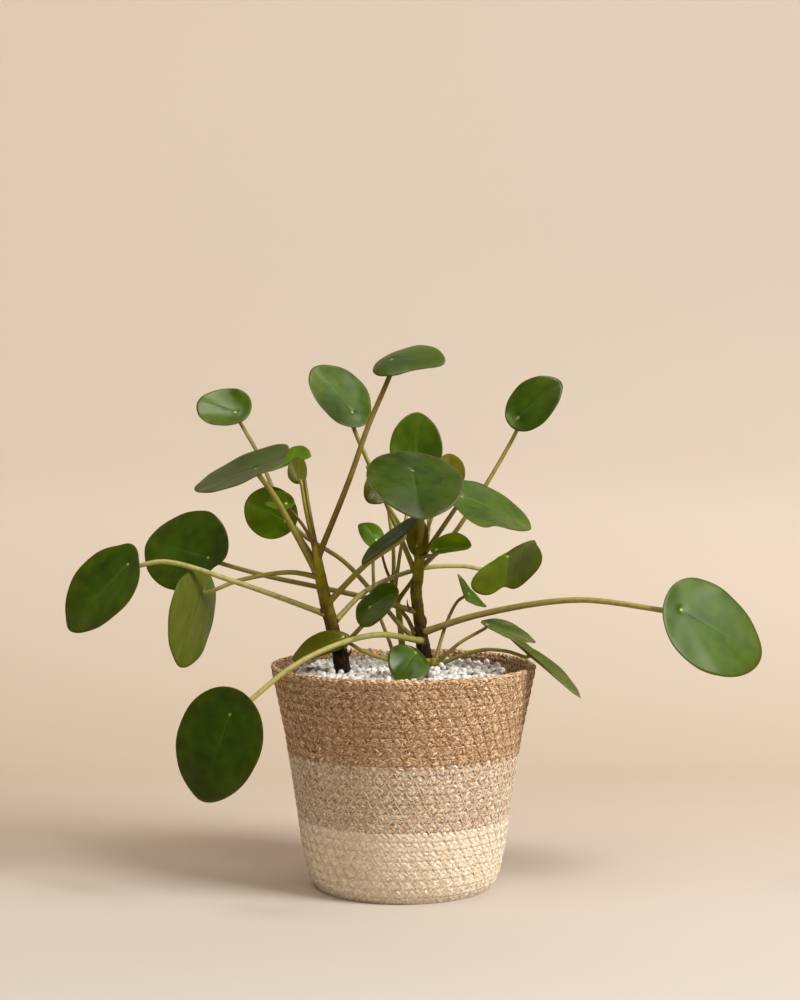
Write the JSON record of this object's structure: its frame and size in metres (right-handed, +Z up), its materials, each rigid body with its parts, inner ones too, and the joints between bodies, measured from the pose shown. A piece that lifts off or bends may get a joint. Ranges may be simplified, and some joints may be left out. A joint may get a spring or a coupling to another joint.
{
  "type": "potted pilea plant",
  "caption": "Round-leaved pilea with woody stems, long petioles and coin-shaped leaves, in a nursery pot set inside a tapered woven basket.",
  "frame": {"origin": "middle of the basket's underside, on the surface that the plant stands on", "axes": "+Z up along the basket's axis, -Y towards the front of the plant, +X to its right seen from the front"},
  "size_m": [0.4631, 0.1985, 0.3664],
  "materials": {
    "woven_cord": "matte",
    "pot_plastic": "matte",
    "soil": "matte",
    "pumice": "matte",
    "woody_stem": "satin",
    "green_stem": "satin",
    "dark_leaf": "satin",
    "green_leaf": "satin",
    "young_leaf": "satin",
    "leaf_underside": "satin"
  },
  "bodies": {
    "root": {"basket": "woven_cord", "nursery_pot": "pot_plastic", "potting_soil": "soil", "pumice_layer": "pumice", "stem_left": "woody_stem", "stem_right": "woody_stem", "stem_middle": "green_stem", "stem_crown": "green_stem", "stem_sprout": "green_stem", "leaf_upper_left": "green_leaf", "leaf_left_tray": "green_leaf", "leaf_curled": "green_leaf", "leaf_young_under": "young_leaf", "leaf_left_round": "green_leaf", "leaf_young_left": "young_leaf", "leaf_far_left": "dark_leaf", "leaf_left_back": "dark_leaf", "leaf_hanging_left": "leaf_underside", "leaf_front_low": "dark_leaf", "leaf_left_rim": "dark_leaf", "leaf_top_left": "green_leaf", "leaf_centre_low": "dark_leaf", "leaf_front_rim": "green_leaf", "leaf_side_on": "dark_leaf", "leaf_centre_tray": "green_leaf", "leaf_right_arch": "green_leaf", "leaf_back_upright": "green_leaf", "leaf_young_back": "young_leaf", "leaf_top_right": "green_leaf", "leaf_young_front": "young_leaf", "leaf_sprout": "green_leaf", "leaf_right_boat": "green_leaf", "leaf_right_folded": "green_leaf", "leaf_right_sliver": "green_leaf", "leaf_right_slant": "green_leaf", "leaf_right_rim": "green_leaf", "leaf_far_right": "green_leaf", "leaf_top": "green_leaf", "leaf_tip_right": "young_leaf", "leaf_back_lower": "green_leaf", "leaf_back_left": "green_leaf", "leaf_young_middle": "young_leaf"}
  },
  "joints": []
}
